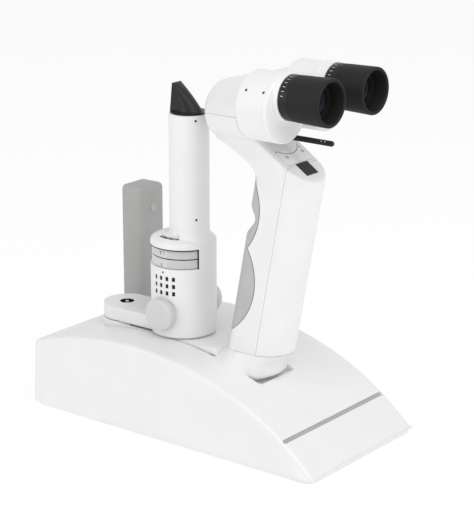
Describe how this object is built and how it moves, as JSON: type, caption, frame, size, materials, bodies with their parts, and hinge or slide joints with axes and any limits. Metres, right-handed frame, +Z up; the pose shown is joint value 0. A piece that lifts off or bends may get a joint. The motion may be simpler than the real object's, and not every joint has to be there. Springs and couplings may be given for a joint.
{
  "type": "slit_lamp",
  "caption": "Hand-held binocular slit lamp standing in its long white charging stand, with a spare battery in its well",
  "frame": {"origin": "on the table under the middle of the charging stand", "axes": "+X from the patient's end to the low nose of the stand, -Y the near side with the spare battery on the far side, +Z up"},
  "size_m": [0.252, 0.1264, 0.2685],
  "materials": {
    "white_plastic": "satin moulded plastic",
    "grey_plastic": "satin moulded plastic",
    "battery_plastic": "fine textured plastic",
    "black_plastic": "satin black plastic",
    "black_rubber": "soft matte rubber",
    "glass": "coated optical glass",
    "steel": "turned steel",
    "brass": "plated contacts",
    "green_board": "lacquered circuit board"
  },
  "bodies": {
    "stand": {"charger_shell": "white_plastic", "bottom_plate": "white_plastic", "rubber_feet": "black_rubber", "indicator_strip": "grey_plastic", "charger_board": "green_board", "transformer": "steel", "dock_contacts": "brass", "spare_contacts": "brass", "base_screws": "steel", "power_inlet": "black_plastic"},
    "spare": {"spare_battery_case": "battery_plastic", "spare_terminals": "brass"},
    "latch": {"spare_latch": "battery_plastic"},
    "unit": {"foot_arm": "white_plastic", "handle_shell": "white_plastic", "finger_panel": "grey_plastic", "slope_panel": "grey_plastic", "head_lower": "white_plastic", "head_upper": "white_plastic", "objective_ring": "black_plastic", "objective_lens": "glass", "grip_battery": "battery_plastic", "foot_contacts": "brass", "pivot_post": "steel"},
    "switch": {"switch_button": "black_plastic"},
    "cover": {"battery_cover": "white_plastic"},
    "lever": {"lever_disc": "grey_plastic", "lever_rod": "black_plastic"},
    "near_barrel": {"near_housing": "white_plastic", "near_prism": "glass"},
    "near_eyepiece": {"near_dioptre_ring": "black_plastic", "near_eyecup": "black_rubber", "near_ocular": "glass"},
    "far_barrel": {"far_housing": "white_plastic", "far_prism": "glass"},
    "far_eyepiece": {"far_dioptre_ring": "black_plastic", "far_eyecup": "black_rubber", "far_ocular": "glass"},
    "changer": {"changer_drum": "steel"},
    "swing": {"swing_plate": "white_plastic", "tower_housing": "white_plastic", "light_tube": "white_plastic", "tube_screws": "black_plastic", "prism_hood": "black_plastic", "hood_prism": "glass", "lamp_bulb": "glass", "lamp_socket": "black_plastic", "condenser_lens": "glass", "tube_lens": "glass", "slit_plate": "steel", "dial_spindle": "steel"},
    "dial_upper": {"upper_dial": "grey_plastic"},
    "dial_lower": {"lower_dial": "grey_plastic"},
    "knobs": {"knob_shaft": "steel", "near_knob": "grey_plastic", "far_knob": "grey_plastic", "slit_cam": "steel"}
  },
  "joints": [
    {"name": "spare_lift", "type": "slide", "parent": "stand", "child": "spare", "axis": [0, 0, 1], "range_m": [0, 0.13]},
    {"name": "latch_push", "type": "slide", "parent": "spare", "child": "latch", "axis": [-1, 0, 0], "range_m": [0, 0.002], "stiffness_N_per_m": 400},
    {"name": "unit_lift", "type": "slide", "parent": "stand", "child": "unit", "axis": [0, 0, 1], "range_m": [0, 0.15]},
    {"name": "switch_push", "type": "slide", "parent": "unit", "child": "switch", "axis": [-0.5592, 0, -0.829], "range_m": [0, 0.0014], "stiffness_N_per_m": 400},
    {"name": "cover_pull", "type": "slide", "parent": "unit", "child": "cover", "axis": [1, 0, 0], "range_m": [0, 0.05]},
    {"name": "magnification", "type": "hinge", "parent": "unit", "child": "lever", "pos_m": [0.0563, -0.0095, 0.2171], "axis": [0.5592, 0, 0.829], "range_deg": [-30, 30]},
    {"name": "changer_turn", "type": "hinge", "parent": "unit", "child": "changer", "pos_m": [0.033, -0.0095, 0.2305], "axis": [0, 1, 0], "range_deg": [-90, 90]},
    {"name": "near_barrel_turn", "type": "hinge", "parent": "unit", "child": "near_barrel", "pos_m": [0.0576, -0.0334, 0.2443], "axis": [1, 0, 0], "range_deg": [0, 75]},
    {"name": "far_barrel_turn", "type": "hinge", "parent": "unit", "child": "far_barrel", "pos_m": [0.0576, 0.0144, 0.2443], "axis": [1, 0, 0], "range_deg": [-75, 0]},
    {"name": "near_dioptre", "type": "hinge", "parent": "near_barrel", "child": "near_eyepiece", "pos_m": [0.0858, -0.0345, 0.2525], "axis": [1, 0, 0], "range_deg": [-120, 120]},
    {"name": "far_dioptre", "type": "hinge", "parent": "far_barrel", "child": "far_eyepiece", "pos_m": [0.0858, 0.0155, 0.2525], "axis": [1, 0, 0], "range_deg": [-120, 120]},
    {"name": "swing_turn", "type": "hinge", "parent": "unit", "child": "swing", "pos_m": [-0.0792, -0.0095, 0.07], "axis": [0, 0, 1], "range_deg": [-60, 60]},
    {"name": "upper_dial_turn", "type": "hinge", "parent": "swing", "child": "dial_upper", "pos_m": [-0.0251, -0.0095, 0.126], "axis": [0, 0, 1], "continuous": true},
    {"name": "lower_dial_turn", "type": "hinge", "parent": "swing", "child": "dial_lower", "pos_m": [-0.0251, -0.0095, 0.119], "axis": [0, 0, 1], "continuous": true},
    {"name": "slit_knob_turn", "type": "hinge", "parent": "swing", "child": "knobs", "pos_m": [-0.0251, -0.0095, 0.0829], "axis": [0, 1, 0], "range_deg": [-90, 90]}
  ],
  "couplings": [
    {"joint": "far_barrel_turn", "follows": "near_barrel_turn", "ratio": -1},
    {"joint": "changer_turn", "follows": "magnification", "ratio": 3}
  ]
}
